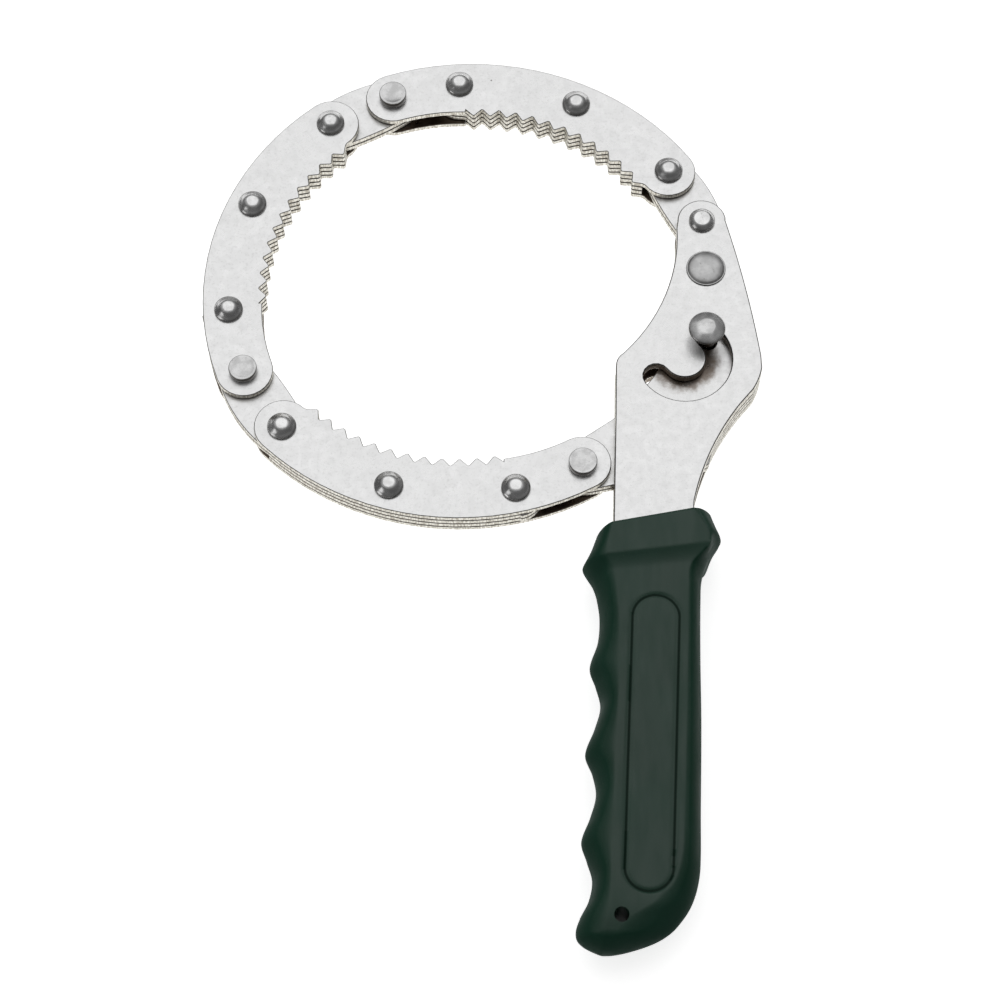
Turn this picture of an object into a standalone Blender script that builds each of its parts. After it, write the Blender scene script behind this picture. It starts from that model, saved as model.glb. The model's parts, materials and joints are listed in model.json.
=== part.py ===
# Oil filter wrench with a ring of three toothed jaws, joined by links to a
# riveted plate handle. A knob in the handle's curved slot carries the last link.
# The tool lies flat: plates stack along Z, the grip points along -Y.
import math

import bpy
import bmesh

MM = 0.001

# Sheet stack, in millimetres. Z is measured from the stack's middle plane.
MID_Z = 11.0            # height of the stack's middle plane above the ground
SHEET = 1.75            # thickness of one stamped sheet
GAP = 0.25              # space between two sheets
INNER_Z = (GAP / 2, GAP / 2 + SHEET)
OUTER_Z = (INNER_Z[1] + GAP, INNER_Z[1] + GAP + SHEET)
HANDLE_TOP_Z = 5.0      # outer face of a handle plate

# Jaws: arcs of one shape, each with rivets a, b, c and d on one circle.
RIVET_CIRCLE_R = 65.4
JAW_END_R = 7.7         # round ends, set inward so that the arms stay even
JAW_END_CENTRE_R = 65.05
JAW_BACK_R = 72.2       # outer edge half way along
JAW_PLAIN_R = (57.35, 56.8, 56.3)   # inner edge from rivet a to the first tooth
TOOTH_TIP_R = 55.15
TOOTH_ROOT_R = 57.0
TOOTH_COUNT = 12
TOOTH_PITCH_DEG = 4.79
TOOTH_START_DEG = 17.85
RIVET_DEG = {"a": 0.0, "b": 16.74, "c": 46.3, "d": 75.9}
JAWS = {                # centre of the rivet circle, direction of rivet a
    "jaw_upper": ((-1.40, 56.20), 110.05),
    "jaw_left": ((-2.50, 56.28), 202.15),
    "jaw_lower": ((-5.15, 60.18), 299.80),
}

# Rivets and holes.
SHANK_R = 2.2
HOLE_R = 2.5
HEAD_R = 3.85
HEAD_GAP = 0.2
ROUND_STEPS = 20
CORNER_STEPS = 14

# Handle. The slot is an arc about SLOT_CENTRE, with the knob at its upper end.
TOP_PIVOT = (61.25, 76.15)
NECK_RIVET = (61.81, 61.23)
NECK_SHANK_R = 3.2
NECK_HEAD_R = 5.35
HANDLE_TOP_R = 6.7
SLOT_CENTRE = (55.05, 34.05)
SLOT_R = 9.3
SLOT_HALF_WIDTH = 3.5
SLOT_DEG = (-145.0, 45.0)
LINK_HALF_WIDTH = 6.9
TOP_LINK_HALF_WIDTH = 6.5
LINK_SWELL = 0.5
LINK_ARC_R = 35.0       # outer edge of a link, about a point inside the ring
HOLLOW_R = 7.25         # clears a link round end
SWING_END_R = 6.9
KNOB_SHANK_R = 2.3
KNOB_HEAD_R = 4.95
KNOB_UNDER_Z = 9.6
KNOB_LEAN = (-0.6, -0.3)    # the head sits a little off the shank
TANG_X = (37.0, 49.0)
TANG_BOTTOM_Y = -92.0
TANG_SHOULDER_Y = -19.5
TANG_RIVETS = ((43.0, -48.0), (43.0, -80.0))
TANG_RIVET_R = 2.0
SPACER_TOP_Y = -5.0

# Grip. Points (y, x) on its left and right edges, joined by a smooth curve. The left
# edge has the finger grooves, both have the collar's flare.
GRIP_LEFT = [(-16.0, 30.9), (-21.0, 28.8), (-24.8, 26.9), (-28.0, 27.4), (-30.5, 29.1),
             (-34.0, 30.3), (-39.5, 30.9), (-46.0, 30.3), (-53.0, 28.1), (-58.0, 29.5),
             (-63.5, 30.6), (-69.5, 29.0), (-76.3, 26.5), (-81.5, 28.2), (-87.0, 29.0),
             (-93.0, 27.4), (-99.2, 25.1), (-104.0, 26.3), (-109.2, 27.6), (-114.5, 26.6),
             (-119.0, 24.3), (-122.6, 23.3), (-125.4, 24.3), (-127.8, 28.0)]
GRIP_RIGHT = [(-11.5, 61.0), (-15.0, 62.2), (-17.8, 63.0), (-20.2, 61.6), (-24.0, 59.3),
              (-28.5, 57.7), (-34.0, 57.2), (-50.0, 56.6), (-68.0, 56.2), (-92.0, 55.2),
              (-106.0, 54.6), (-111.5, 53.6), (-116.0, 51.9), (-119.5, 49.6), (-122.5, 46.8),
              (-125.0, 42.8), (-126.8, 38.0), (-127.8, 34.0)]
GRIP_TOP_Y = -14.3
GRIP_BOTTOM_Y = -127.8
GRIP_TOP_SLOPE = 0.18
GRIP_REACH = 16.5
COLLAR_HALF_T = 11.0
GRIP_HALF_T = 9.3
COLLAR_LENGTH = 9.9
POCKET_GAP = 0.35
HANG_HOLE = (34.4, -120.0)
HANG_HOLE_R = 1.8


def polar(centre, radius, degrees):
    turn = math.radians(degrees)
    return (centre[0] + radius * math.cos(turn), centre[1] + radius * math.sin(turn))


def arc(centre, radius, start, end, steps):
    return [polar(centre, radius, start + (end - start) * i / steps) for i in range(steps + 1)]


def material(name, colour, metallic, roughness):
    mat = bpy.data.materials.new(name)
    mat.use_nodes = True
    shader = mat.node_tree.nodes["Principled BSDF"]
    shader.inputs["Base Color"].default_value = (*colour, 1.0)
    shader.inputs["Metallic"].default_value = metallic
    shader.inputs["Roughness"].default_value = roughness
    return mat


def add_object(name, mesh, mat, parent, place, turn_deg=0.0):
    mesh.shade_smooth()
    mesh.set_sharp_from_angle(angle=math.radians(35))
    if not mesh.materials:
        mesh.materials.append(mat)
    obj = bpy.data.objects.new(name, mesh)
    bpy.context.collection.objects.link(obj)
    obj.parent = parent
    base = parent["world"] if parent else (0.0, 0.0, 0.0)
    obj.location = [(place[i] - base[i]) * MM for i in range(3)]
    obj.rotation_euler.z = math.radians(turn_deg)
    return obj


def hinge(name, point, parent=None):
    # An empty on a hinge axis. Everything that turns about the axis hangs from it.
    empty = bpy.data.objects.new(name, None)
    bpy.context.collection.objects.link(empty)
    world = (point[0], point[1], MID_Z)
    base = parent["world"] if parent else (0.0, 0.0, 0.0)
    empty.parent = parent
    empty.location = [(world[i] - base[i]) * MM for i in range(3)]
    empty["world"] = world
    return empty


def sheet_mesh(name, outline, holes, z_range):
    # A flat stamped sheet: outline and holes filled, then extruded along Z.
    bm = bmesh.new()
    edges = []
    for loop in [outline] + holes:
        verts = [bm.verts.new((x * MM, y * MM, z_range[0] * MM)) for x, y in loop]
        edges += [bm.edges.new((verts[i - 1], verts[i])) for i in range(len(verts))]
    bmesh.ops.triangle_fill(bm, use_beauty=True, edges=edges)
    bottom = list(bm.faces)
    top = bmesh.ops.extrude_face_region(bm, geom=bottom, use_keep_orig=True)
    lifted = [g for g in top["geom"] if isinstance(g, bmesh.types.BMVert)]
    bmesh.ops.translate(bm, verts=lifted, vec=(0, 0, (z_range[1] - z_range[0]) * MM))
    bmesh.ops.recalc_face_normals(bm, faces=bm.faces)
    mesh = bpy.data.meshes.new(name)
    bm.to_mesh(mesh)
    bm.free()
    return mesh


def turned_mesh(name, profile, steps=ROUND_STEPS):
    # A solid of revolution about Z. The profile runs from the lower pole to the upper one.
    bm = bmesh.new()
    low = bm.verts.new((0, 0, profile[0][1] * MM))
    high = bm.verts.new((0, 0, profile[-1][1] * MM))
    rings = []
    for radius, z in profile[1:-1]:
        rings.append([bm.verts.new((x * MM, y * MM, z * MM))
                      for x, y in arc((0, 0), radius, 0, 360, steps)[:-1]])
    for i in range(steps):
        j = (i + 1) % steps
        bm.faces.new((low, rings[0][j], rings[0][i]))
        bm.faces.new((high, rings[-1][i], rings[-1][j]))
        for lower, upper in zip(rings, rings[1:]):
            bm.faces.new((lower[i], lower[j], upper[j], upper[i]))
    mesh = bpy.data.meshes.new(name)
    bm.to_mesh(mesh)
    bm.free()
    return mesh


def rivet_mesh(name, face_z, flat=False, head_r=HEAD_R, height=2.2):
    # Shank with a head on each side. A flat head is a plain button, the other is a cone
    # with a flat top. The back head is lower, as the set end of a rivet is.
    front = face_z + HEAD_GAP
    if flat:
        upper = [(head_r, front), (head_r, front + height - 0.3), (head_r - 0.35, front + height)]
    else:
        upper = [(head_r, front), (head_r, front + 0.5), (head_r * 0.84, front + 1.25),
                 (head_r * 0.5, front + height)]
    back = [(head_r * 0.62, -front - 1.3), (head_r, -front - 0.6), (head_r, -front)]
    profile = [(0, -front - 1.3)] + back + [(SHANK_R, -front), (SHANK_R, front)]
    return turned_mesh(name, profile + upper + [(0, upper[-1][1])])


def jaw_point(letter):
    return polar((0, 0), RIVET_CIRCLE_R, -RIVET_DEG[letter])


def teeth():
    # Inner edge from the d end back to the b end, a flat-topped tooth at each pitch.
    points = []
    for tooth in reversed(range(TOOTH_COUNT)):
        start = TOOTH_START_DEG + tooth * TOOTH_PITCH_DEG
        for share, radius in ((0.96, TOOTH_ROOT_R), (0.56, TOOTH_TIP_R), (0.44, TOOTH_TIP_R),
                              (0.04, TOOTH_ROOT_R)):
            points.append(polar((0, 0), radius, -(start + share * TOOTH_PITCH_DEG)))
    return points


def jaw_outer_edge(first_deg, last_deg, steps):
    # Outer edge of a jaw, a little flatter than its rivet circle.
    end_r = JAW_END_CENTRE_R + JAW_END_R
    middle_deg = RIVET_DEG["d"] / 2
    points = []
    for i in range(steps + 1):
        deg = first_deg + (last_deg - first_deg) * i / steps
        radius = JAW_BACK_R + (end_r - JAW_BACK_R) * ((deg - middle_deg) / middle_deg) ** 2
        points.append(polar((0, 0), radius, -deg))
    return points


def jaw_outer_outline():
    # Full jaw arc with round ends about rivets a and d, toothed inside from b to d.
    end_d = RIVET_DEG["d"]
    outline = jaw_outer_edge(0.4, end_d - 0.4, 20)
    outline += arc(polar((0, 0), JAW_END_CENTRE_R, -end_d), JAW_END_R, -end_d, -end_d - 180, CORNER_STEPS)
    outline += teeth()
    near, half_way, far = JAW_PLAIN_R
    outline += arc_through(polar((0, 0), far, -TOOTH_START_DEG), polar((0, 0), half_way, -10),
                           polar((0, 0), near, -0.5), 5)
    outline += arc((JAW_END_CENTRE_R, 0), JAW_END_R, -180, -360, CORNER_STEPS)
    return outline


def jaw_inner_outline():
    # Inner lamination: round about rivet b, hollowed about rivet d where a link turns.
    end_b, end_d = RIVET_DEG["b"], RIVET_DEG["d"]
    back = 90 - end_d
    outline = jaw_outer_edge(end_b + 0.4, end_d - 2.0, 16)
    outline += arc(jaw_point("d"), HOLLOW_R, back - 73, back + 71, 14)
    outline += teeth()
    outline += arc(polar((0, 0), JAW_END_CENTRE_R, -end_b), JAW_END_R, -180 - end_b, -360 - end_b,
                   CORNER_STEPS)
    return outline


def hole(point, radius=HOLE_R):
    return arc(point, radius, 0, -360, ROUND_STEPS)[:-1]


def arc_through(first, middle, last, steps):
    # Circular arc through three points.
    (ax, ay), (bx, by), (cx, cy) = first, middle, last
    twice = 2 * (ax * (by - cy) + bx * (cy - ay) + cx * (ay - by))
    a2, b2, c2 = ax * ax + ay * ay, bx * bx + by * by, cx * cx + cy * cy
    centre = ((a2 * (by - cy) + b2 * (cy - ay) + c2 * (ay - by)) / twice,
              (a2 * (cx - bx) + b2 * (ax - cx) + c2 * (bx - ax)) / twice)
    start = math.degrees(math.atan2(ay - centre[1], ax - centre[0]))
    end = math.degrees(math.atan2(cy - centre[1], cx - centre[0]))
    sweep = (end - start + 180) % 360 - 180
    return arc(centre, math.dist(centre, first), start, start + sweep, steps)


def link_outline(start, end, half_width):
    # Round ends about the two holes, an inner edge that bulges a little and an outer edge
    # that curves with the ring.
    along = math.degrees(math.atan2(end[1] - start[1], end[0] - start[0]))
    half = math.dist(start, end) / 2
    tilt = math.degrees(math.asin(half / LINK_ARC_R))
    middle = ((start[0] + end[0]) / 2, (start[1] + end[1]) / 2)
    inside = polar(middle, math.sqrt(LINK_ARC_R ** 2 - half ** 2), along + 90)
    swell = polar(middle, half_width + LINK_SWELL, along + 90)
    inner_edge = arc_through(polar(end, half_width, along + 85), swell,
                             polar(start, half_width, along + 95), 6)
    return (arc(start, half_width, along + 95, along + 270 - tilt, CORNER_STEPS)
            + arc(inside, LINK_ARC_R + half_width, along + 270 - tilt, along + 270 + tilt, 10)[1:-1]
            + arc(end, half_width, along - 90 + tilt, along + 85, CORNER_STEPS) + inner_edge[1:-1])


def tang_outline(left_top, right_top, grow=0.0):
    # The part of the handle that the grip covers, from the shoulder down.
    low, high = TANG_X[0] - grow, TANG_X[1] + grow
    shoulder = TANG_SHOULDER_Y - grow
    return [left_top, (35.1 - grow, shoulder), (low, shoulder), (low, TANG_BOTTOM_Y - grow),
            (high, TANG_BOTTOM_Y - grow), (high, shoulder), (56.2 + grow, shoulder), right_top]


def shoulder_edge(bottom):
    # Right edge of the handle plates from the grip up to the broad shoulder.
    lower = arc_through((56.3, -8.0), (60.3, 4.4), (69.7, 20.4), 14)
    upper = arc_through((73.1, 24.4), (74.9, 27.9), (75.8, 31.0), 5)
    return [p for p in lower if p[1] > bottom] + upper


def handle_outline():
    # Anticlockwise from the right of the top pivot, down the left edge and up the right one.
    outline = arc(TOP_PIVOT, HANDLE_TOP_R, 11, 180, 14)
    outline += arc_through((54.2, 74.0), (50.4, 53.2), (39.1, 36.1), 14)
    outline += arc_through((38.8, 35.8), (37.2, 34.1), (36.65, 31.8), 5)
    outline += [(36.15, 15.4)]
    outline += tang_outline((35.0, -13.9), (56.2, -9.5))
    outline += shoulder_edge(-9.0)
    outline += arc_through((75.7, 34.8), (72.2, 56.8), (67.8, 76.4), 10)
    return outline


def slot_outline():
    low, high = SLOT_DEG
    outer_r, inner_r = SLOT_R + SLOT_HALF_WIDTH, SLOT_R - SLOT_HALF_WIDTH
    outline = arc(SLOT_CENTRE, outer_r, low, high, 24)
    outline += arc(polar(SLOT_CENTRE, SLOT_R, high), SLOT_HALF_WIDTH, high, high + 180, 8)[1:]
    outline += arc(SLOT_CENTRE, inner_r, high, low, 18)[1:]
    outline += arc(polar(SLOT_CENTRE, SLOT_R, low), SLOT_HALF_WIDTH, low + 180, low + 360, 8)[1:-1]
    return outline


def swing_outline(jaw_pivot, knob):
    # Fan-shaped plate: a round end on the lower jaw, a broad edge along the handle's
    # shoulder and a round end about the knob.
    outline = arc(knob, SWING_END_R, 10, 128, 6)
    outline += arc_through((47.3, 30.8), (45.2, 27.9), (35.5, 17.4), 4)
    outline += arc(jaw_pivot, SWING_END_R, 127, 286, 8)
    outline += arc((58.9, 5.4), 2.2, 286, 330, 3)
    outline += shoulder_edge(6.5)
    outline += [(74.6, 37.0)]
    return outline


def straight_profile(radius, low, high):
    return [(0, low), (radius, low), (radius, high), (0, high)]


def headed_profile(shank_r, head_r, face_z, rise, flat_r, back_r, back_rise):
    # A rivet across two handle plates, with a domed head and a lower head at the back.
    front, back = face_z + HEAD_GAP, -face_z - HEAD_GAP
    return [(0, back - back_rise), (back_r * 0.7, back - back_rise), (back_r, back - back_rise / 2),
            (back_r, back), (shank_r, back), (shank_r, front), (head_r, front),
            (head_r, front + rise * 0.3), (head_r * 0.85, front + rise * 0.7),
            (flat_r, front + rise), (0, front + rise)]


def smooth_edge(points, y):
    # Value at y of the smooth curve through the points, which run down in y.
    if y >= points[0][0]:
        return points[0][1]
    last = len(points) - 1
    for i in range(last):
        (y0, x0), (y1, x1) = points[i], points[i + 1]
        if y >= y1:
            before, after = points[max(i - 1, 0)], points[min(i + 2, last)]
            slope0 = (x1 - before[1]) / (y1 - before[0])
            slope1 = (after[1] - x0) / (after[0] - y0)
            t, span = (y - y0) / (y1 - y0), y1 - y0
            return (x0 * (2 * t ** 3 - 3 * t * t + 1) + x1 * (3 * t * t - 2 * t ** 3)
                    + span * (slope0 * (t ** 3 - 2 * t * t + t) + slope1 * (t ** 3 - t * t)))
    return points[-1][1]


def grip_half_thickness(y):
    # Thick collar at the top, a sloping ledge, then an even body that rounds off below.
    ledge = GRIP_TOP_Y - COLLAR_LENGTH
    if y > ledge:
        return COLLAR_HALF_T
    if y > ledge - 4.0:
        return GRIP_HALF_T + (COLLAR_HALF_T - GRIP_HALF_T) * (y - ledge + 4.0) / 4.0
    fall = max(0.0, (-120.0 - y) / (-120.0 - GRIP_BOTTOM_Y))
    return GRIP_HALF_T * math.sqrt(1 - 0.8 * fall * fall)


def grip_mesh():
    # Twelve-sided sections along the grip. The top ones lean with the collar's edge.
    bm = bmesh.new()
    rings = []
    count = 60
    for step in range(count + 1):
        y = GRIP_TOP_Y + (GRIP_BOTTOM_Y - GRIP_TOP_Y) * step / count
        lean = GRIP_TOP_SLOPE * max(0.0, 1 - (GRIP_TOP_Y - y) / 28.0)
        left = smooth_edge(GRIP_LEFT, y - lean * GRIP_REACH)
        right = smooth_edge(GRIP_RIGHT, y + lean * GRIP_REACH)
        half_t = grip_half_thickness(y)
        middle = (left + right) / 2
        corner = min(5.0, (right - left) * 0.25)
        side = [(0.0, half_t * 0.4), (corner * 0.3, half_t * 0.78), (corner, half_t)]
        ring = [(right - inset, z) for inset, z in side]
        ring += [(left + inset, z) for inset, z in reversed(side)]
        ring += [(x, -z) for x, z in reversed(ring)]
        rings.append([bm.verts.new((x * MM, (y + lean * (x - middle)) * MM, z * MM))
                      for x, z in ring])
    for upper, lower in zip(rings, rings[1:]):
        for i in range(len(upper)):
            bm.faces.new((upper[i - 1], upper[i], lower[i], lower[i - 1]))
    bm.faces.new(rings[0])
    bm.faces.new(rings[-1])
    bmesh.ops.recalc_face_normals(bm, faces=bm.faces)
    mesh = bpy.data.meshes.new("grip")
    bm.to_mesh(mesh)
    bm.free()
    return mesh


def cut(obj, cutter):
    cutter.hide_render = True
    cutter.display_type = "WIRE"
    modifier = obj.modifiers.new(cutter.name, "BOOLEAN")
    modifier.operation = "DIFFERENCE"
    modifier.object = cutter


def build_handle(steel, pin_steel, rubber):
    place = (0.0, 0.0, MID_Z)
    plate_z = (OUTER_Z[0], HANDLE_TOP_Z)
    holes = [slot_outline(), hole(TOP_PIVOT), hole(NECK_RIVET, NECK_SHANK_R + 0.3)]
    holes += [hole(p, TANG_RIVET_R + 0.3) for p in TANG_RIVETS]
    outline = handle_outline()
    front = sheet_mesh("handle_plate_front", outline, holes, plate_z)
    back = sheet_mesh("handle_plate_back", outline, holes, (-plate_z[1], -plate_z[0]))
    add_object("handle_plate_front", front, steel, None, place)
    add_object("handle_plate_back", back, steel, None, place)

    spacer_z = (-INNER_Z[1], INNER_Z[1])
    spacer = tang_outline((35.4, SPACER_TOP_Y), (56.0, SPACER_TOP_Y))
    mesh = sheet_mesh("handle_tang_spacer", spacer, [hole(p, TANG_RIVET_R + 0.3) for p in TANG_RIVETS],
                      spacer_z)
    add_object("handle_tang_spacer", mesh, steel, None, place)
    mesh = sheet_mesh("handle_neck_spacer", arc(NECK_RIVET, 6.4, 0, 360, 24)[:-1],
                      [hole(NECK_RIVET, NECK_SHANK_R + 0.3)], spacer_z)
    add_object("handle_neck_spacer", mesh, steel, None, place)

    neck = headed_profile(NECK_SHANK_R, NECK_HEAD_R, HANDLE_TOP_Z, 1.1, 2.6, 4.8, 1.0)
    add_object("handle_neck_rivet", turned_mesh("handle_neck_rivet", neck, 24), pin_steel, None,
               (*NECK_RIVET, MID_Z))
    top = headed_profile(SHANK_R, 3.6, HANDLE_TOP_Z, 1.7, 2.0, 3.6, 1.2)
    add_object("handle_top_rivet", turned_mesh("handle_top_rivet", top), pin_steel, None,
               (*TOP_PIVOT, MID_Z))
    for name, point in zip(("upper", "lower"), TANG_RIVETS):
        mesh = turned_mesh("tang_rivet", straight_profile(TANG_RIVET_R, -4.9, 4.9))
        add_object("handle_tang_rivet_" + name, mesh, pin_steel, None, (*point, MID_Z))

    grip = add_object("handle_grip", grip_mesh(), rubber, None, place)
    pocket = tang_outline((35.1 - POCKET_GAP, 0.0), (56.2 + POCKET_GAP, 0.0), POCKET_GAP)
    depth = HANDLE_TOP_Z + POCKET_GAP
    cut(grip, add_object("pocket_cutter", sheet_mesh("pocket_cutter", pocket, [], (-depth, depth)),
                         rubber, None, place))
    drill = turned_mesh("hang_hole_cutter", straight_profile(HANG_HOLE_R, -15, 15))
    cut(grip, add_object("hang_hole_cutter", drill, rubber, None, (*HANG_HOLE, MID_Z)))


def build_pair(name, outline, holes, mat, parent, origin):
    # Two equal sheets, one on each side of the middle plane, in their pivot's frame.
    shift = [(x - origin[0], y - origin[1]) for x, y in outline]
    moved = [[(x - origin[0], y - origin[1]) for x, y in loop] for loop in holes]
    for side, z_range in (("front", INNER_Z), ("back", (-INNER_Z[1], -INNER_Z[0]))):
        mesh = sheet_mesh(name + "_" + side, shift, moved, z_range)
        add_object(name + "_" + side, mesh, mat, parent, (*origin, MID_Z))


def build_jaw(name, parent, meshes, steel, pin_steel):
    # Two plates outside, two laminations inside and four rivets, all on the jaw's circle.
    outer, inner, cone, button = meshes
    centre, turn = JAWS[name]
    place = (*centre, MID_Z)
    # The back sheets reuse the front meshes, lowered by whole sheets.
    add_object(name + "_plate_front", outer, steel, parent, place, turn)
    add_object(name + "_plate_back", outer, steel, parent,
               (*centre, MID_Z - OUTER_Z[0] - OUTER_Z[1]), turn)
    add_object(name + "_lamination_front", inner, steel, parent, place, turn)
    add_object(name + "_lamination_back", inner, steel, parent,
               (*centre, MID_Z - INNER_Z[0] - INNER_Z[1]), turn)
    for letter in "abcd":
        mesh = button if letter == "a" else cone
        add_object(name + "_rivet_" + letter, mesh, pin_steel, parent,
                   (*jaw_pivot(name, letter), MID_Z))


def jaw_pivot(name, letter):
    centre, turn = JAWS[name]
    return polar(centre, RIVET_CIRCLE_R, turn - RIVET_DEG[letter])


def build_chain(steel, pin_steel):
    # Links and jaws in order from the handle's top pivot round to the knob.
    meshes = (sheet_mesh("jaw_sheet", jaw_outer_outline(), [hole(jaw_point(k)) for k in "abcd"],
                         OUTER_Z),
              sheet_mesh("jaw_lamination", jaw_inner_outline(), [hole(jaw_point(k)) for k in "bc"],
                         INNER_Z),
              rivet_mesh("cone_rivet", OUTER_Z[1]),
              rivet_mesh("button_rivet", OUTER_Z[1], flat=True, head_r=3.7, height=1.9))
    start, parent = TOP_PIVOT, None
    links = (("link_top", TOP_LINK_HALF_WIDTH), ("link_upper", LINK_HALF_WIDTH),
             ("link_lower", LINK_HALF_WIDTH))
    for (link, half_width), jaw in zip(links, JAWS):
        end = jaw_pivot(jaw, "d")
        link_hinge = hinge(link + "_hinge", start, parent)
        build_pair(link, link_outline(start, end, half_width), [hole(start), hole(end)], steel,
                   link_hinge, start)
        jaw_hinge = hinge(jaw + "_hinge", end, link_hinge)
        build_jaw(jaw, jaw_hinge, meshes, steel, pin_steel)
        start, parent = jaw_pivot(jaw, "a"), jaw_hinge

    knob = polar(SLOT_CENTRE, SLOT_R, SLOT_DEG[1])
    swing_hinge = hinge("swing_hinge", start, parent)
    build_pair("swing_plate", swing_outline(start, knob), [hole(start), hole(knob, KNOB_SHANK_R + 0.3)],
               steel, swing_hinge, start)
    build_knob(knob, swing_hinge, pin_steel)


def build_knob(point, parent, pin_steel):
    # Headed pin through both slots, and a washer head that holds it at the back.
    under = -HANDLE_TOP_Z - 0.4
    straight_to = HANDLE_TOP_Z + 0.3
    pin = [(0, under - 2.6), (KNOB_SHANK_R, under - 2.6), (KNOB_SHANK_R, straight_to),
           (KNOB_SHANK_R, KNOB_UNDER_Z),
           (KNOB_HEAD_R, KNOB_UNDER_Z), (KNOB_HEAD_R, KNOB_UNDER_Z + 0.5),
           (KNOB_HEAD_R * 0.86, KNOB_UNDER_Z + 1.2), (2.0, KNOB_UNDER_Z + 1.8),
           (0, KNOB_UNDER_Z + 1.8)]
    mesh = turned_mesh("knob_pin", pin, 24)
    for vert in mesh.vertices:
        if vert.co.z > (straight_to + 0.1) * MM:
            vert.co.x += KNOB_LEAN[0] * MM
            vert.co.y += KNOB_LEAN[1] * MM
    add_object("knob_pin", mesh, pin_steel, parent, (*point, MID_Z))
    ring = sheet_mesh("knob_back_head", arc((0, 0), KNOB_HEAD_R, 0, 360, 24)[:-1],
                      [hole((0, 0), KNOB_SHANK_R + 0.3)], (under - 2.2, under))
    add_object("knob_back_head", ring, pin_steel, parent, (*point, MID_Z))


def main():
    for obj in list(bpy.data.objects):
        bpy.data.objects.remove(obj, do_unlink=True)
    steel = material("plated_steel", (0.62, 0.62, 0.61), 1.0, 0.38)
    pin_steel = material("rivet_steel", (0.42, 0.42, 0.42), 1.0, 0.22)
    rubber = material("green_rubber", (0.022, 0.048, 0.036), 0.0, 0.6)
    build_handle(steel, pin_steel, rubber)
    build_chain(steel, pin_steel)


main()
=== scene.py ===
# Looks for the oil filter wrench: stamped plated sheets, set rivets, a moulded rubber grip,
# and a pale studio table seen from above the grip end.
import json
import math

import bpy
import bmesh
from mathutils import Matrix, Vector

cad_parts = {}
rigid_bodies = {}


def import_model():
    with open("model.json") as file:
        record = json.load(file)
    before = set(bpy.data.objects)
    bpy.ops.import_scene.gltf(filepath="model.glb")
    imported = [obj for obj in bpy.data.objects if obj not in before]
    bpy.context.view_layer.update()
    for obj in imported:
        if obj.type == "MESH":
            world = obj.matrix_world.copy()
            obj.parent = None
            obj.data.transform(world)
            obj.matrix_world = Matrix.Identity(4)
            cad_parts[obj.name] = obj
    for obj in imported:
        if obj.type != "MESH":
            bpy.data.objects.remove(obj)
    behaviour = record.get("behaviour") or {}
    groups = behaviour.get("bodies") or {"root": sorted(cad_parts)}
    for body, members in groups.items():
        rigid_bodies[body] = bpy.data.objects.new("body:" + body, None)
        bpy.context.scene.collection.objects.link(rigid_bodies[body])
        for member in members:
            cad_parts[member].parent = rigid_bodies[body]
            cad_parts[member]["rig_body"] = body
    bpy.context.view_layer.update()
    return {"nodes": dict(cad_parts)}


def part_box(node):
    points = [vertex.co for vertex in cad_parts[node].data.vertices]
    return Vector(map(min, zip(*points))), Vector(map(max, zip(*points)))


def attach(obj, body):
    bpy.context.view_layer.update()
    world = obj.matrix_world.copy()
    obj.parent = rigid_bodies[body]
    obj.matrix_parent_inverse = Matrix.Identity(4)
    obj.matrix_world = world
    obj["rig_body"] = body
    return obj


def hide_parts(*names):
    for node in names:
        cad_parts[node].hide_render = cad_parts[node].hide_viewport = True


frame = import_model()
mm = 0.001
mergeDistance = 0.002 * mm


def addNode(tree, kind, options=None, **sockets):
    made = tree.nodes.new(kind)
    for name, value in (options or {}).items():
        setattr(made, name, value)
    for name, value in sockets.items():
        socket = made.inputs[int(name[1:])] if name[1:].isdigit() else made.inputs[name.replace("_", " ")]
        if isinstance(value, bpy.types.NodeSocket):
            tree.links.new(value, socket)
        else:
            socket.default_value = value
    return made


def newMaterial(name):
    made = bpy.data.materials.new(name)
    made.use_nodes = True
    return made, made.node_tree, made.node_tree.nodes["Principled BSDF"]


def maths(tree, operation, first, second=0.0):
    return addNode(tree, "ShaderNodeMath", {"operation": operation}, s0=first, s1=second).outputs[0]


def times(tree, first, second):
    return maths(tree, "MULTIPLY", first, second)


def mean(tree, first, second):
    return times(tree, maths(tree, "ADD", first, second), 0.5)


def uprightness(tree):
    # One on faces that lie flat and nothing on walls.
    normal = addNode(tree, "ShaderNodeTexCoord").outputs["Normal"]
    return maths(tree, "ABSOLUTE", addNode(tree, "ShaderNodeSeparateXYZ", Vector=normal).outputs[2])


def attributeOf(tree, name):
    return addNode(tree, "ShaderNodeAttribute", {"attribute_name": name}).outputs["Fac"]


def dotsOf(tree, coords, scale, near, far, fewest, most):
    # Small round dots, one in some of the cells.
    cells = addNode(tree, "ShaderNodeTexVoronoi", Vector=coords, Scale=scale)
    chosen = addNode(tree, "ShaderNodeSeparateColor", Color=cells.outputs["Color"]).outputs[0]
    dots = remap(tree, cells.outputs["Distance"], near, far, 1.0, 0.0)
    return times(tree, dots, remap(tree, chosen, fewest, most))


def joinShader(tree, shader, colour, rough, relief, strength, depth):
    bump = addNode(tree, "ShaderNodeBump", Strength=strength, Distance=depth * mm, Height=relief)
    tree.links.new(colour, shader.inputs["Base Color"])
    tree.links.new(rough, shader.inputs["Roughness"])
    tree.links.new(bump.outputs[0], shader.inputs["Normal"])


def remap(tree, value, fromLow, fromHigh, toLow=0.0, toHigh=1.0):
    made = addNode(tree, "ShaderNodeMapRange", {"interpolation_type": "SMOOTHSTEP"}, Value=value,
                   From_Min=fromLow, From_Max=fromHigh, To_Min=toLow, To_Max=toHigh)
    return made.outputs[0]


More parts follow.
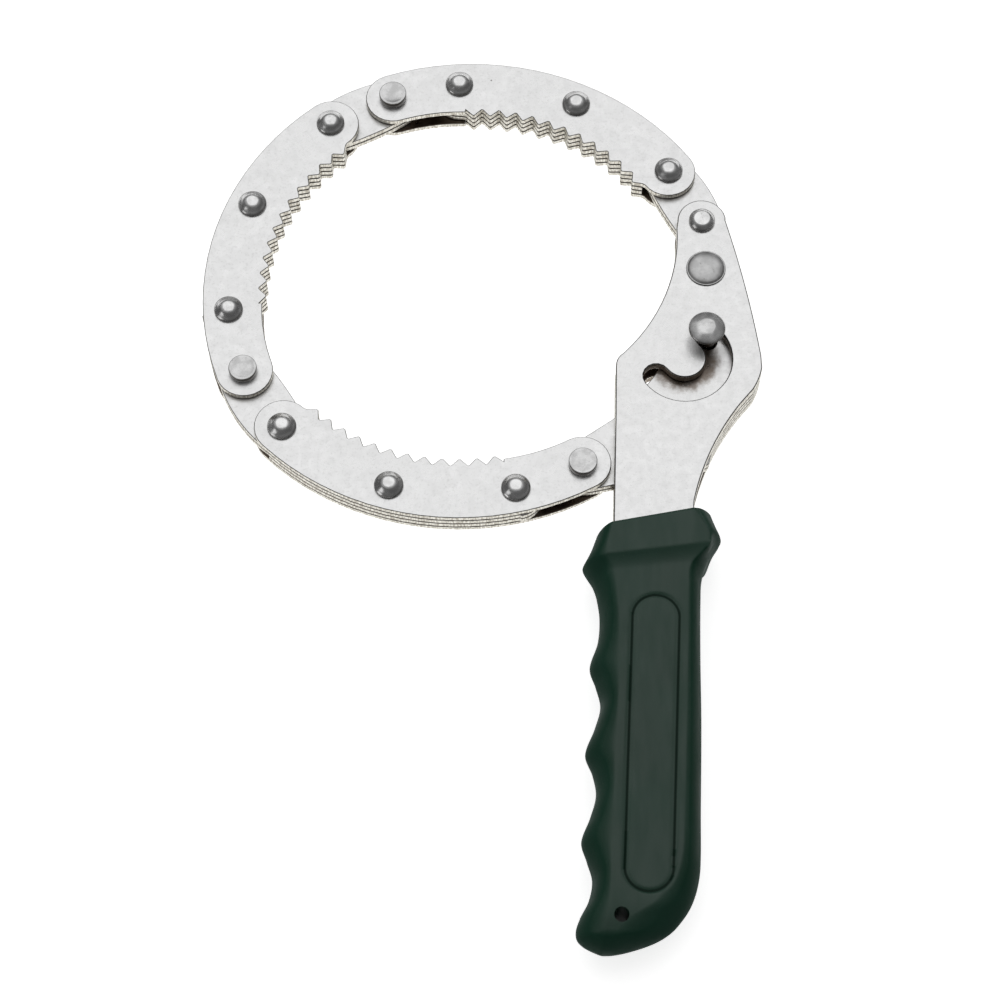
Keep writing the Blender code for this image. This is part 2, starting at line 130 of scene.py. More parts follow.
def blendColour(tree, share, first, second):
    made = addNode(tree, "ShaderNodeMix", {"data_type": "RGBA"}, s0=share, s6=first, s7=second)
    return made.outputs[2]


def noise(tree, coords, scale, detail=3.0, roughness=0.55, distortion=0.0):
    return addNode(tree, "ShaderNodeTexNoise", Vector=coords, Scale=scale, Detail=detail,
                   Roughness=roughness, Distortion=distortion).outputs["Fac"]


def stretched(tree, coords, turn, scale):
    return addNode(tree, "ShaderNodeMapping", Vector=coords, Rotation=(0.0, 0.0, math.radians(turn)),
                   Scale=scale).outputs[0]


def meshObject(name, bm, mat, body, nodes, sharpAngle=40.0):
    mesh = bpy.data.meshes.new(name)
    bm.to_mesh(mesh)
    bm.free()
    mesh.materials.append(mat)
    mesh.shade_smooth()
    mesh.set_sharp_from_angle(angle=math.radians(sharpAngle))
    piece = bpy.data.objects.new(name, mesh)
    bpy.context.scene.collection.objects.link(piece)
    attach(piece, body)
    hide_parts(*nodes)
    return piece


def bodyOf(node):
    return frame["nodes"][node]["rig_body"]


plateLook = {
    "bright": (0.86, 0.86, 0.86, 1.0),
    "dull": (0.78, 0.78, 0.78, 1.0),
    "fleck": (0.50, 0.50, 0.49, 1.0),
    "speck": (0.16, 0.15, 0.14, 1.0),
    "scratch": (0.60, 0.60, 0.60, 1.0),
    "cutEdge": (0.82, 0.80, 0.73, 1.0),
    "cutShade": (0.42, 0.39, 0.33, 1.0),
    # rim: near black on the broken edges. This is painted dark reflection and shade there, partly the
    # sheared edge's own darker tone.
    "rim": (0.055, 0.053, 0.05, 1.0),
    # Colour of the painted shade between the sheets, on the slot's walls and round the slot's island.
    "paintedShadeColour": (0.14, 0.095, 0.062, 1.0),
    "cloudScale": 55.0,
    "grainScale": 2600.0,
    "patchScale": 38.0,
    "hairTurn": 24.0,
    "hairScale": (30.0, 1300.0, 30.0),
    "speckScale": 260.0,
    "fleckScale": 1500.0,
    "shearScale": (2600.0, 2600.0, 500.0),
    "roughness": (0.26, 0.40),
    "cutRoughness": 0.42,
    "relief": 0.16,
    "reliefDepth": 0.03,
}


def platedSteel(name, look, paintedShadow=None):
    made, tree, shader = newMaterial(name)
    coords = addNode(tree, "ShaderNodeTexCoord").outputs["Object"]
    cloud = noise(tree, coords, look["cloudScale"], 6.0, 0.6)
    grain = noise(tree, coords, look["grainScale"], 2.0)
    haze = noise(tree, coords, look["cloudScale"] * 8, 4.0)

    patches = remap(tree, noise(tree, coords, look["patchScale"], 2.0), 0.50, 0.66)
    hairs = noise(tree, stretched(tree, coords, look["hairTurn"], look["hairScale"]), 1.0, 2.0)
    scratches = times(tree, remap(tree, hairs, 0.66, 0.74), patches)
    specks = dotsOf(tree, coords, look["speckScale"], 0.03, 0.09, 0.90, 0.93)
    fleck = remap(tree, noise(tree, coords, look["fleckScale"], 3.0, 0.7), 0.50, 0.72)

    upright = uprightness(tree)
    wall = remap(tree, upright, 0.25, 0.60, 1.0, 0.0)
    # Painted dark reflection and shade on the broken edges, partly the sheared edge's own darker tone.
    rim = times(tree, remap(tree, upright, 0.30, 0.60), remap(tree, upright, 0.90, 0.985, 1.0, 0.0))
    shear = noise(tree, stretched(tree, coords, 0.0, look["shearScale"]), 1.0, 2.0)

    colour = blendColour(tree, remap(tree, cloud, 0.35, 0.65), look["dull"], look["bright"])
    colour = blendColour(tree, times(tree, fleck, 0.30), colour, look["fleck"])
    colour = blendColour(tree, times(tree, scratches, 0.22), colour, look["scratch"])
    colour = blendColour(tree, times(tree, specks, 0.85), colour, look["speck"])
    cutColour = blendColour(tree, remap(tree, shear, 0.35, 0.65), look["cutShade"], look["cutEdge"])
    colour = blendColour(tree, wall, colour, cutColour)
    colour = blendColour(tree, rim, colour, look["rim"])

    # Painted shade, read from the faces. The painted shadow round the slot is added to it.
    paintedShade = attributeOf(tree, "paintedShade")
    if paintedShadow:
        # Painted shadow and dark reflection round the slot's island. It fades with distance from a centre
        # and has a ragged edge.
        away = addNode(tree, "ShaderNodeVectorMath", {"operation": "DISTANCE"}, s0=coords,
                       s1=paintedShadow["centre"]).outputs["Value"]
        uneven = maths(tree, "SUBTRACT", noise(tree, coords, paintedShadow["raggedScale"], 4.0, 0.65), 0.5)
        away = maths(tree, "ADD", away, times(tree, uneven, paintedShadow["ragged"]))
        shadowShare = remap(tree, away, paintedShadow["near"], paintedShadow["far"], 1.0, 0.0)
        paintedShade = maths(tree, "MAXIMUM", paintedShade, times(tree, shadowShare, paintedShadow["strength"]))
    colour = blendColour(tree, paintedShade, colour, look["paintedShadeColour"])

    rough = remap(tree, mean(tree, cloud, haze), 0.38, 0.62, *look["roughness"])
    rough = addNode(tree, "ShaderNodeMix", s0=wall, s2=rough, s3=look["cutRoughness"]).outputs[0]
    relief = maths(tree, "ADD", times(tree, grain, 0.25), times(tree, haze, 0.5))
    relief = maths(tree, "SUBTRACT", relief, times(tree, specks, 1.2))
    relief = maths(tree, "ADD", relief, times(tree, times(tree, shear, wall), 2.0))
    joinShader(tree, shader, colour, rough, relief, look["relief"], look["reliefDepth"])
    shader.inputs["Metallic"].default_value = 1.0
    return made


rivetLook = {
    "bright": (0.86, 0.86, 0.86, 1.0),
    "dark": (0.66, 0.66, 0.66, 1.0),
    # soot: colour of the soot patches and of the painted shade on the heads' side walls.
    "sootAndWallShade": (0.10, 0.09, 0.08, 1.0),
    "grime": 0.30,
    # wall: strength of the painted dark reflection and shade on the heads' side walls.
    "wall": 0.75,
    "roughness": (0.17, 0.29),
    "cloudScale": 320.0,
    "ringScale": 10400.0,
    "dentScale": 700.0,
    "grimeScale": 700.0,
    "relief": 0.13,
    "reliefDepth": 0.06,
}
buttonLook = dict(rivetLook, bright=(0.70, 0.70, 0.70, 1.0), dark=(0.50, 0.50, 0.50, 1.0), wall=0.95)
dullLook = dict(rivetLook, bright=(0.62, 0.62, 0.62, 1.0), dark=(0.46, 0.46, 0.46, 1.0),
                roughness=(0.30, 0.42), relief=0.20, grime=0.5)


def rivetSteel(name, look):
    made, tree, shader = newMaterial(name)
    coords = addNode(tree, "ShaderNodeTexCoord").outputs["Object"]
    rings = maths(tree, "SINE", times(tree, attributeOf(tree, "fromAxis"), look["ringScale"]))
    cloud = noise(tree, coords, look["cloudScale"], 4.0, 0.6)
    dents = noise(tree, coords, look["dentScale"], 3.0, 0.6, 0.4)
    grime = remap(tree, noise(tree, coords, look["grimeScale"], 4.0, 0.7), 0.60, 0.72)
    # Painted dark reflection and shade: the heads' side walls are darkened towards the soot colour.
    wall = remap(tree, uprightness(tree), 0.42, 0.96, look["wall"], 0.0)

    colour = blendColour(tree, remap(tree, cloud, 0.35, 0.65), look["dark"], look["bright"])
    colour = blendColour(tree, times(tree, grime, look["grime"]), colour, look["sootAndWallShade"])
    colour = blendColour(tree, wall, colour, look["sootAndWallShade"])
    mixed = maths(tree, "ADD", times(tree, cloud, 0.6), times(tree, dents, 0.4))
    rough = remap(tree, mixed, 0.35, 0.65, *look["roughness"])
    relief = maths(tree, "ADD", dents, times(tree, rings, 0.06))
    joinShader(tree, shader, colour, rough, relief, look["relief"], look["reliefDepth"])
    shader.inputs["Metallic"].default_value = 1.0
    return made


padShape = {"centreX": 44.66, "atY": -48.8, "slope": 0.055, "topY": -36.3, "bottomY": -114.4,
            "halfWidth": 6.0, "groove": 0.55, "depth": 0.50, "sink": 0.10, "sinkOver": 0.8,
            "shadeNear": 0.12, "shadeFar": 0.55}
rubberLook = {
    "deep": (0.011, 0.046, 0.028, 1.0),
    "worn": (0.019, 0.060, 0.040, 1.0),
    # groove: colour of the painted shade in the moulded groove.
    "groove": (0.003, 0.010, 0.006, 1.0),
    "dust": (0.20, 0.22, 0.19, 1.0),
    "roughness": (0.40, 0.55),
    "gloss": (0.02, 0.50),
    "cloudScale": 42.0,
    "mouldScale": 1700.0,
    "smearTurn": 8.0,
    "smearScale": (260.0, 60.0, 200.0),
    "dustScale": 240.0,
    "relief": 0.30,
    "reliefDepth": 0.05,
}


def padGrooveShade(tree, coords, pad):
    # Painted shade in the groove: one on the long pad's outline and nothing away from it.
    x, y = addNode(tree, "ShaderNodeSeparateXYZ", Vector=coords).outputs[:2]
    top, bottom = (pad["topY"] - pad["halfWidth"]) * mm, (pad["bottomY"] + pad["halfWidth"]) * mm
    nearest = maths(tree, "MINIMUM", maths(tree, "MAXIMUM", y, bottom), top)
    lean = times(tree, maths(tree, "SUBTRACT", nearest, pad["atY"] * mm), pad["slope"])
    across = maths(tree, "SUBTRACT", maths(tree, "SUBTRACT", x, pad["centreX"] * mm), lean)
    offset = addNode(tree, "ShaderNodeCombineXYZ", X=across, Y=maths(tree, "SUBTRACT", y, nearest))
    away = addNode(tree, "ShaderNodeVectorMath", {"operation": "LENGTH"}, s0=offset.outputs[0])
    away = maths(tree, "SUBTRACT", away.outputs["Value"], pad["halfWidth"] * mm)
    return remap(tree, maths(tree, "ABSOLUTE", away), pad["shadeNear"] * mm, pad["shadeFar"] * mm, 1.0, 0.0)


def greenRubber(look):
    made, tree, shader = newMaterial("greenRubber")
    coords = addNode(tree, "ShaderNodeTexCoord").outputs["Object"]
    cloud = noise(tree, coords, look["cloudScale"], 5.0, 0.6)
    mould = noise(tree, coords, look["mouldScale"], 3.0)
    smear = noise(tree, stretched(tree, coords, look["smearTurn"], look["smearScale"]), 1.0, 4.0)
    dust = dotsOf(tree, coords, look["dustScale"], 0.02, 0.06, 0.82, 0.86)
    edge = padGrooveShade(tree, coords, padShape)

    colour = blendColour(tree, remap(tree, cloud, 0.3, 0.7), look["deep"], look["worn"])
    colour = blendColour(tree, times(tree, dust, 0.5), colour, look["dust"])
    # Painted shade darkens the groove round the pad.
    colour = blendColour(tree, times(tree, edge, 0.75), colour, look["groove"])
    rough = remap(tree, mean(tree, cloud, smear), 0.38, 0.62, *look["roughness"])
    relief = maths(tree, "ADD", mould, times(tree, smear, 0.6))
    joinShader(tree, shader, colour, rough, relief, look["relief"], look["reliefDepth"])
    clear = maths(tree, "SUBTRACT", 1.0, times(tree, edge, 0.85))
    gloss = times(tree, remap(tree, uprightness(tree), 0.68, 0.99, *look["gloss"]), clear)
    tree.links.new(gloss, shader.inputs["Specular IOR Level"])
    return made


sheetShape = {"edge": 0.28 * mm, "handleEdge": 0.42 * mm, "edgeSteps": 2, "cornerAngle": 60.0,
              "middle": 11.0 * mm, "slotCentre": (55.05 * mm, 34.05 * mm), "slotReach": 13.4 * mm,
              "betweenSheetsShade": 0.90, "slotWallShade": 0.78}


def markPaintedShade(bm, shape):
    # Painted shade: dark brown on the faces between the sheets and on the walls of the handle's slot.
    layer = bm.faces.layers.float.new("paintedShade")
    for face in bm.faces:
        centre = face.calc_center_median()
        inward = (centre.z - shape["middle"]) * face.normal.z < 0 and abs(face.normal.z) > 0.9
        fromSlot = math.hypot(centre.x - shape["slotCentre"][0], centre.y - shape["slotCentre"][1])
        slotWall = abs(face.normal.z) < 0.3 and fromSlot < shape["slotReach"]
        face[layer] = shape["betweenSheetsShade"] if inward else shape["slotWallShade"] if slotWall else 0.0


def sheetPiece(node, mat, shape):
    # The CAD sheet merged into whole faces, with its sheared edges broken.
    bm = bmesh.new()
    bm.from_mesh(frame["nodes"][node].data)
    bmesh.ops.remove_doubles(bm, verts=bm.verts, dist=mergeDistance)
    bmesh.ops.dissolve_limit(bm, angle_limit=math.radians(0.5), verts=bm.verts, edges=bm.edges)
    rims = [e for e in bm.edges if len(e.link_faces) == 2
            and e.calc_face_angle() > math.radians(shape["cornerAngle"])
            and any(abs(f.normal.z) > 0.9 for f in e.link_faces)]
    edge = shape["handleEdge" if node.startswith("handle_plate") else "edge"]
    bmesh.ops.bevel(bm, geom=rims, offset=edge, offset_type="OFFSET", segments=shape["edgeSteps"],
                    profile=0.5, affect="EDGES", material=-1, loop_slide=False, clamp_overlap=False)
    markPaintedShade(bm, shape)
    piece = meshObject(node + "Sheet", bm, mat, bodyOf(node), [node])
    flatten = piece.modifiers.new("flatFaces", "WEIGHTED_NORMAL")
    flatten.keep_sharp = True


turning = {"fillet": 0.12 * mm, "steps": 64, "creaseAngle": 24.0, "sharpAngle": 50.0}


def turnedPiece(name, profile, centre, mat, node):
    # The profile runs from the lower pole to the upper one, in millimetres from the axis.
    bm = bmesh.new()
    line = [bm.verts.new((r * mm, 0.0, z * mm)) for r, z in profile]
    edges = [bm.edges.new(pair) for pair in zip(line, line[1:])]
    bmesh.ops.spin(bm, geom=line + edges, cent=(0, 0, 0), axis=(0, 0, 1), dvec=(0, 0, 0),
                   angle=2 * math.pi, steps=turning["steps"], use_merge=True, use_duplicate=False)
    bmesh.ops.remove_doubles(bm, verts=bm.verts, dist=mergeDistance)
    bmesh.ops.recalc_face_normals(bm, faces=bm.faces)
    creases = [e for e in bm.edges if e.calc_face_angle() > math.radians(turning["creaseAngle"])
               and abs(e.verts[0].co.z - e.verts[1].co.z) < 0.001 * mm]
    bmesh.ops.bevel(bm, geom=creases, offset=turning["fillet"], offset_type="OFFSET", segments=2,
                    profile=0.5, affect="EDGES", material=-1, clamp_overlap=True)
    layer = bm.verts.layers.float.new("fromAxis")
    for vert in bm.verts:
        vert[layer] = math.hypot(vert.co.x, vert.co.y)
    bmesh.ops.translate(bm, verts=bm.verts, vec=centre)
    return meshObject(name, bm, mat, bodyOf(node), [node], turning["sharpAngle"])


coneShape = {"head": [(3.84, 0.0), (3.88, 0.38), (3.70, 0.64), (3.32, 0.88), (3.0, 1.12), (2.62, 1.45),
                      (2.12, 1.86), (1.62, 2.10), (1.2, 2.2)],
             "back": [(2.3, -1.3), (3.5, -0.75), (3.85, -0.4), (3.82, 0.0)], "shank": 2.2}
buttonShape = {"head": [(3.76, 0.0), (3.78, 1.72), (3.66, 1.88), (3.42, 1.9), (2.9, 1.76), (2.1, 1.62),
                        (1.2, 1.52), (0.5, 1.49)],
               "back": [(2.3, -1.3), (3.4, -0.75), (3.78, -0.4), (3.74, 0.0)], "shank": 2.2, "dish": 0.41}
topShape = {"head": [(3.5, 0.0), (3.54, 0.5), (3.3, 0.78), (2.7, 1.32), (2.25, 1.62), (2.02, 1.7)],
            "back": [(2.3, -1.2), (3.3, -0.8), (3.6, -0.4), (3.56, 0.0)], "shank": 2.2}
domeShape = {"head": [(5.33, 0.0), (5.35, 0.10), (5.20, 0.22), (5.02, 0.16), (4.90, 0.30), (4.3, 0.62),
                      (3.4, 0.87), (2.3, 1.03), (1.1, 1.1)],
             "back": [(3.36, -1.0), (4.5, -0.6), (4.8, -0.3), (4.76, 0.0)], "shank": 3.2}
knobShape = {"head": [(4.88, 0.0), (4.92, 0.40), (4.72, 0.66), (3.95, 1.05), (3.0, 1.46), (2.3, 1.72),
                      (1.95, 1.8)],
             "shank": 2.3, "footR": 2.0, "footHigh": 0.3, "bendHigh": 14.2, "lean": (-0.6, -0.3, 0.0)}


def rivetPiece(node, shape, mat):
    # Both heads and the shank between them, fitted between the CAD rivet's two ends.
    low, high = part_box(node)
    centre = Vector(((low.x + high.x) / 2, (low.y + high.y) / 2, 0.0))
    under = high.z / mm - max(z for _, z in shape["head"])
    over = low.z / mm - shape["back"][0][1]
    profile = [(0.0, low.z / mm)] + [(r, over + z) for r, z in shape["back"]]
    profile += [(shape["shank"], over), (shape["shank"], under)]
    profile += [(r, under + z) for r, z in shape["head"]]
    profile += [(0.0, high.z / mm - shape.get("dish", 0.0))]
    turnedPiece(node + "Set", profile, centre, mat, node)


def knobPiece(mat, shape):
    # The shank stands in the washer's middle. The head leans a little off it.
    low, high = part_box("knob_pin")
    ringLow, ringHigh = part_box("knob_back_head")
    axis = Vector(((ringLow.x + ringHigh.x) / 2, (ringLow.y + ringHigh.y) / 2, 0.0))
    under = high.z / mm - shape["head"][-1][1]
    foot = low.z / mm
    bend, shank = foot + shape["bendHigh"], shape["shank"]
    profile = [(0.0, foot), (shape["footR"], foot), (shank, foot + shape["footHigh"])]
    profile += [(shank, bend), (shank, under)]
    profile += [(r, under + z) for r, z in shape["head"]] + [(0.0, high.z / mm)]
    piece = turnedPiece("knobTurned", profile, axis, mat, "knob_pin")
    lean = Vector(shape["lean"]) * mm
    for vert in piece.data.vertices:
        vert.co += lean * min(1.0, max(0.0, (vert.co.z / mm - bend) / (under - bend)))


gripShape = {
    "left": [(-16.0, 30.9), (-21.0, 28.9), (-24.9, 26.85), (-25.5, 26.8), (-27.2, 27.6), (-30.5, 29.3),
             (-34.0, 30.3), (-39.5, 30.9), (-46.0, 30.3), (-53.0, 28.1), (-58.0, 29.5), (-63.5, 30.6),
             (-69.5, 29.0), (-76.3, 26.5), (-81.5, 28.2), (-87.0, 29.0), (-93.0, 27.4), (-99.2, 25.1),
             (-104.0, 26.3), (-109.2, 27.6), (-114.5, 26.6), (-119.0, 24.3), (-122.6, 23.3),
             (-125.4, 24.3), (-127.8, 28.0)],
    "right": [(-11.5, 61.0), (-15.0, 62.1), (-17.7, 63.05), (-18.2, 63.0), (-20.0, 61.5), (-24.0, 59.2),
              (-28.5, 57.7), (-34.0, 57.2), (-50.0, 56.6), (-68.0, 56.2), (-92.0, 55.2), (-106.0, 54.6),
              (-111.5, 53.6), (-116.0, 51.9), (-119.5, 49.6), (-122.5, 46.8), (-125.0, 42.8),
              (-126.8, 38.0), (-127.8, 34.0)],
    "flatLeft": [(-14.3, 34.6), (-23.8, 33.0), (-28.5, 34.9), (-48.7, 35.9), (-101.0, 32.6), (-116.0, 31.8),
                 (-127.8, 29.6)],
    "flatRight": [(-14.3, 55.3), (-23.8, 59.6), (-28.5, 54.4), (-34.0, 53.6), (-48.8, 52.9), (-101.6, 49.9),
                  (-107.6, 48.8), (-112.4, 46.5), (-117.1, 42.2), (-120.7, 36.5), (-124.0, 33.0),
                  (-127.8, 31.0)],
    "middle": 11.0,
    "collarHalf": 11.0,
    "bodyHalf": 9.3,
    "top": -14.3,
    "ledge": -24.0,
    "ledgeFall": 4.4,
    "rimInset": 0.35,
    "rimHigh": 0.7,
    "bottom": -127.8,
    "lean": 0.18,
    "leanOver": 28.0,
    "reach": 16.5,
    "fallFrom": -116.0,
    "endThin": 0.30,
    "endRadius": 4.2,
    "endWidth": 0.55,
    "chamfer": 1.22,
    "flankShare": 0.27,
    "crowding": 1.35,
    "leastFlank": 0.6,
    "leastFlat": 0.4,
    "reliefAbove": 0.7,
    "around": 112,
    "along": 330,
    "mouldedAngle": 60.0,
    "cutAngle": 50.0,
}
hangShape = {"x": 34.4, "y": -120.1, "z": 11.0, "radius": 1.85, "depth": 40, "segments": 48}
pocketShape = {"boxes": [((34.75, 56.55), (-19.85, 0.0)), ((36.65, 49.35), (-92.35, -19.0))], "half": 5.35}


def throughPoints(points, y):
    # Smooth curve through (y, x) points, y falling, with tangents from the neighbours.
    if y >= points[0][0]:
        return points[0][1]
    last = len(points) - 1
    for i in range(last):
        (y0, x0), (y1, x1) = points[i], points[i + 1]
        if y >= y1:
            before, after = points[max(i - 1, 0)], points[min(i + 2, last)]
            slope0 = (x1 - before[1]) / (y1 - before[0])
            slope1 = (after[1] - x0) / (after[0] - y0)
            t, span = (y - y0) / (y1 - y0), y1 - y0
            return (x0 * (2 * t ** 3 - 3 * t * t + 1) + x1 * (3 * t * t - 2 * t ** 3)
                    + span * (slope0 * (t ** 3 - 2 * t * t + t) + slope1 * (t ** 3 - t * t)))
    return points[-1][1]


def easeBetween(value, low, high):
    t = min(1.0, max(0.0, (value - low) / (high - low)))
    return t * t * (3 - 2 * t)


def gripHalf(shape, y):
    # Half thickness: a collar, a sloping ledge under it, then the even body.
    step = max(0.0, min(1.0, (y - shape["ledge"] + shape["ledgeFall"]) / shape["ledgeFall"]))
    half = shape["bodyHalf"] + (shape["collarHalf"] - shape["bodyHalf"]) * step ** 1.5
    rim = shape["rimInset"] * easeBetween(y, shape["top"] - shape["rimHigh"], shape["top"])
    fall = max(0.0, (shape["fallFrom"] - y) / (shape["fallFrom"] - shape["bottom"]))
    return (half - rim) * (1 - shape["endThin"] * fall * fall)


def sectionPoint(shape, share, left, right, half, flatLeft, flatRight):
    # One turn of the section: right flank, front face, left flank, and the same behind.
    front = share < 0.5
    t = share * 2 if front else 2 - share * 2
    corner, power = shape["flankShare"], shape["chamfer"]
    if t < corner:
        angle = math.radians(90) * t / corner
        x = flatRight + (right - flatRight) * math.cos(angle) ** power
        z = half * math.sin(angle) ** power
    elif t > 1 - corner:
        angle = math.radians(90) * (1 - t) / corner
        x = flatLeft + (left - flatLeft) * math.cos(angle) ** power
        z = half * math.sin(angle) ** power
    else:
        x = flatRight + (flatLeft - flatRight) * (t - corner) / (1 - 2 * corner)
        z = half
    return x, z if front else -z


def padRelief(x, y):
    # Depth of the moulded groove round the long pad, and of the pad itself.
    pad = padShape
    top, bottom = pad["topY"] - pad["halfWidth"], pad["bottomY"] + pad["halfWidth"]
    nearest = min(top, max(bottom, y))
    centreX = pad["centreX"] + pad["slope"] * (nearest - pad["atY"])
    away = math.hypot(x - centreX, y - nearest) - pad["halfWidth"]
    groove = math.exp(-(away / pad["groove"]) ** 2)
    return pad["depth"] * groove + pad["sink"] * easeBetween(-away, 0.0, pad["sinkOver"])


def cutAway(piece, cutters):
    # Cuts closed shapes out of the piece and keeps the result as its mesh.
    for cutter in cutters:
        bmesh.ops.recalc_face_normals(cutter, faces=cutter.faces)
        mesh = bpy.data.meshes.new("cutter")
        cutter.to_mesh(mesh)
        cutter.free()
        tool = bpy.data.objects.new("cutter", mesh)
        bpy.context.scene.collection.objects.link(tool)
        modifier = piece.modifiers.new("cut", "BOOLEAN")
        modifier.operation = "DIFFERENCE"
        modifier.object = tool
        bpy.context.view_layer.update()
        whole = piece.evaluated_get(bpy.context.evaluated_depsgraph_get())
        cutMesh = bpy.data.meshes.new_from_object(whole)
        piece.modifiers.clear()
        piece.data = cutMesh
        bpy.data.objects.remove(tool)
    piece.data.shade_smooth()
    piece.data.set_sharp_from_angle(angle=math.radians(gripShape["cutAngle"]))


def boxCutter(xRange, yRange, zRange):
    bm = bmesh.new()
    bmesh.ops.create_cube(bm, size=1.0)
    for vert in bm.verts:
        vert.co = Vector([span[0] if side < 0 else span[1]
                          for span, side in zip((xRange, yRange, zRange), vert.co)]) * mm
    return bm


def drillCutter(shape):
    bm = bmesh.new()
    centre = Vector((shape["x"], shape["y"], shape["z"])) * mm
    radius = shape["radius"] * mm
    bmesh.ops.create_cone(bm, cap_ends=True, segments=shape["segments"], radius1=radius, radius2=radius,
                          depth=shape["depth"] * mm, matrix=Matrix.Translation(centre))
    return bm


def gripPiece(mat, shape):
    bm = bmesh.new()
    bmesh.ops.create_grid(bm, x_segments=shape["around"], y_segments=shape["along"], size=0.5)
    height = shape["top"] - shape["bottom"]
    for vert in bm.verts:
        share, down = vert.co.x + 0.5, 0.5 - vert.co.y
        y = shape["top"] - height * (1 - (1 - down) ** shape["crowding"])
        lean = shape["lean"] * max(0.0, 1 - (shape["top"] - y) / shape["leanOver"])
        left = throughPoints(shape["left"], y - lean * shape["reach"])
        right = throughPoints(shape["right"], y + lean * shape["reach"])
        half = gripHalf(shape, y)
        flatLeft = max(left + shape["leastFlank"], throughPoints(shape["flatLeft"], y))
        flatRight = min(right - shape["leastFlank"], throughPoints(shape["flatRight"], y))
        flatRight = max(flatLeft + shape["leastFlat"], flatRight)
        x, z = sectionPoint(shape, share, left, right, half, flatLeft, flatRight)
        closing = max(0.0, (shape["bottom"] + shape["endRadius"] - y) / shape["endRadius"])
        squeeze = math.sqrt(max(0.0, 1 - closing * closing))
        middle = (left + right) / 2
        if abs(z) > half * shape["reliefAbove"]:
            z -= math.copysign(padRelief(x, y), z)
        x = middle + (x - middle) * (shape["endWidth"] + (1 - shape["endWidth"]) * squeeze)
        z *= squeeze
        vert.co = Vector((x, y + lean * (x - middle), z + shape["middle"])) * mm
    bmesh.ops.remove_doubles(bm, verts=bm.verts, dist=mergeDistance)
    bmesh.ops.holes_fill(bm, edges=[e for e in bm.edges if e.is_boundary], sides=0)
    bmesh.ops.recalc_face_normals(bm, faces=bm.faces)
    piece = meshObject("gripMoulded", bm, mat, "handle", ["handle_grip"],
                       shape["mouldedAngle"])
    low, high = shape["middle"] - pocketShape["half"], shape["middle"] + pocketShape["half"]
    cutters = [boxCutter(xRange, yRange, (low, high)) for xRange, yRange in pocketShape["boxes"]]
    cutAway(piece, cutters + [drillCutter(hangShape)])


# Painted shadow and dark reflection on the swing plate beside the slot's island, fading outward.
slotShadow = {"centre": Vector((55.05, 35.0, 12.9)) * mm, "near": 7.0 * mm, "far": 10.8 * mm,
              "ragged": 5.0 * mm, "raggedScale": 420.0, "strength": 0.86}

plated = platedSteel("platedSteel", plateLook)
slotShaded = platedSteel("slotShadedSteel", plateLook, slotShadow)
buttonSteel = rivetSteel("buttonSteel", buttonLook)
riveted = rivetSteel("rivetSteel", rivetLook)
dulled = rivetSteel("dullRivetSteel", dullLook)
rubber = greenRubber(rubberLook)

sheetWords = ("plate", "lamination", "link", "spacer", "back_head")
for node in sorted(frame["nodes"]):
    if "rivet" not in node and any(word in node for word in sheetWords):
        sheetPiece(node, slotShaded if node == "swing_plate_front" else plated, sheetShape)
print("sheets done")

for jaw in ("jaw_upper", "jaw_left", "jaw_lower"):
    rivetPiece(jaw + "_rivet_a", buttonShape, buttonSteel)
    for letter in "bcd":
        rivetPiece(jaw + "_rivet_" + letter, coneShape, riveted)
rivetPiece("handle_top_rivet", topShape, riveted)
rivetPiece("handle_neck_rivet", domeShape, dulled)
knobPiece(buttonSteel, knobShape)
for node in ("handle_tang_rivet_upper", "handle_tang_rivet_lower"):
    frame["nodes"][node].data.materials.clear()
    frame["nodes"][node].data.materials.append(riveted)
print("rivets done")

gripPiece(rubber, gripShape)
print("grip done")


studio = {
    "aim": Vector((5.45, -6.95, 14.875)) * mm,
    "distance": 0.72096,
    "elevation": 65.444,
    "roll": -0.378,
    "lens": 99.15,
    "filmWidth": 36.0,
    "floorSize": 6.0,
    "floorDrop": 0.0002,
    "floorColour": (0.92, 0.92, 0.92, 1.0),
    "floorGlow": 0.74,
    "boxWay": (0.0, 0.42, 0.91),
    "boxSize": 1.1,
    "boxDistance": 1.0,
    "boxPower": 2.05,
    "leftWay": (-0.85, -0.45, 0.36),
    "leftSize": 0.55,
    "leftDistance": 1.2,
    "leftPower": 1.0,
    "skyEdge": (0.40, 0.94),
    "skyStrength": (0.13, 0.48),
    "skySeen": 0.97,
}


def addCamera(settings):
    rise = math.radians(settings["elevation"])
    back = Vector((0.0, -math.cos(rise), math.sin(rise)))
    camera = bpy.data.objects.new("camera", bpy.data.cameras.new("camera"))
    camera.data.lens = settings["lens"]
    camera.data.sensor_width = settings["filmWidth"]
    camera.data.clip_start = 0.05
    roll = Matrix.Rotation(math.radians(settings["roll"]), 3, "Z")
    turn = (-back).to_track_quat("-Z", "Y").to_matrix() @ roll
    camera.matrix_world = Matrix.Translation(settings["aim"] + back * settings["distance"]) @ turn.to_4x4()
    bpy.context.scene.collection.objects.link(camera)
    bpy.context.scene.camera = camera


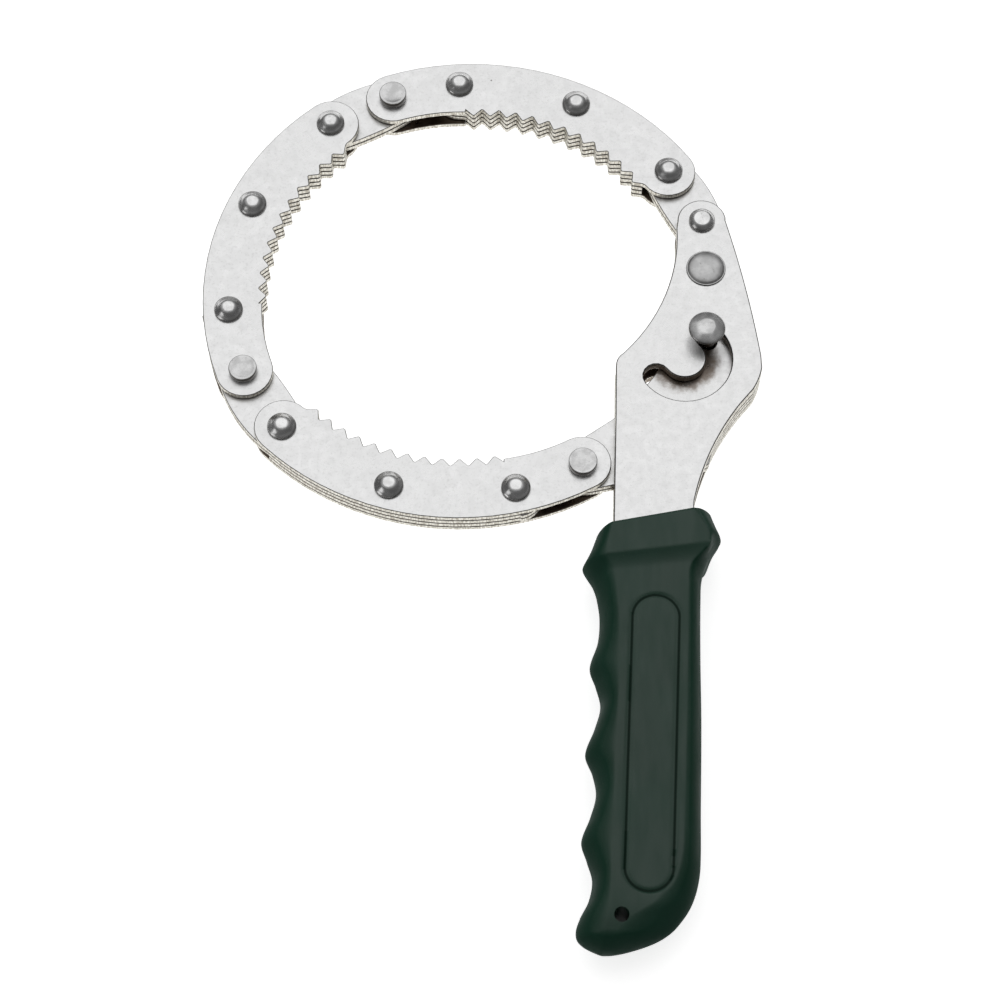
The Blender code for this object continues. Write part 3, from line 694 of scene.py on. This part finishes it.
def addFloor(settings):
    made, _, shader = newMaterial("paleTable")
    shader.inputs["Base Color"].default_value = settings["floorColour"]
    shader.inputs["Roughness"].default_value = 0.9
    shader.inputs["Emission Color"].default_value = (1.0, 1.0, 1.0, 1.0)
    shader.inputs["Emission Strength"].default_value = settings["floorGlow"]
    bm = bmesh.new()
    bmesh.ops.create_grid(bm, x_segments=1, y_segments=1, size=settings["floorSize"] / 2)
    bmesh.ops.translate(bm, verts=bm.verts, vec=(0, 0, -settings["floorDrop"]))
    mesh = bpy.data.meshes.new("floor")
    bm.to_mesh(mesh)
    bm.free()
    mesh.materials.append(made)
    floor = bpy.data.objects.new("floor", mesh)
    floor.visible_diffuse = False
    bpy.context.scene.collection.objects.link(floor)


def addSoftbox(name, direction, size, distance, power):
    light = bpy.data.objects.new(name, bpy.data.lights.new(name, "AREA"))
    light.data.shape = "SQUARE"
    light.data.size = size
    light.data.energy = power
    way = Vector(direction).normalized()
    turn = (-way).to_track_quat("-Z", "Y").to_matrix().to_4x4()
    light.matrix_world = Matrix.Translation(way * distance) @ turn
    bpy.context.scene.collection.objects.link(light)


def addSky(settings):
    # Bright about the overhead box and dark elsewhere, so that metal has something to reflect.
    world = bpy.data.worlds.new("studio")
    world.use_nodes = True
    tree = world.node_tree
    tree.nodes.clear()
    way = addNode(tree, "ShaderNodeTexCoord").outputs["Generated"]
    toBox = addNode(tree, "ShaderNodeVectorMath", {"operation": "DOT_PRODUCT"}, s0=way,
                    s1=Vector(settings["boxWay"]).normalized()).outputs["Value"]
    glow = addNode(tree, "ShaderNodeBackground", Color=(1, 1, 1, 1),
                   Strength=remap(tree, toBox, *settings["skyEdge"], *settings["skyStrength"]))
    seen = addNode(tree, "ShaderNodeBackground", Color=(1, 1, 1, 1), Strength=settings["skySeen"])
    toCamera = addNode(tree, "ShaderNodeLightPath").outputs["Is Camera Ray"]
    mix = addNode(tree, "ShaderNodeMixShader", s0=toCamera, s1=glow.outputs[0], s2=seen.outputs[0])
    addNode(tree, "ShaderNodeOutputWorld", Surface=mix.outputs[0])
    bpy.context.scene.world = world


addCamera(studio)
addFloor(studio)
addSky(studio)
addSoftbox("overhead", studio["boxWay"], studio["boxSize"], studio["boxDistance"], studio["boxPower"])
addSoftbox("left", studio["leftWay"], studio["leftSize"], studio["leftDistance"], studio["leftPower"])
bpy.context.scene.view_settings.view_transform = "Standard"
print("studio done")
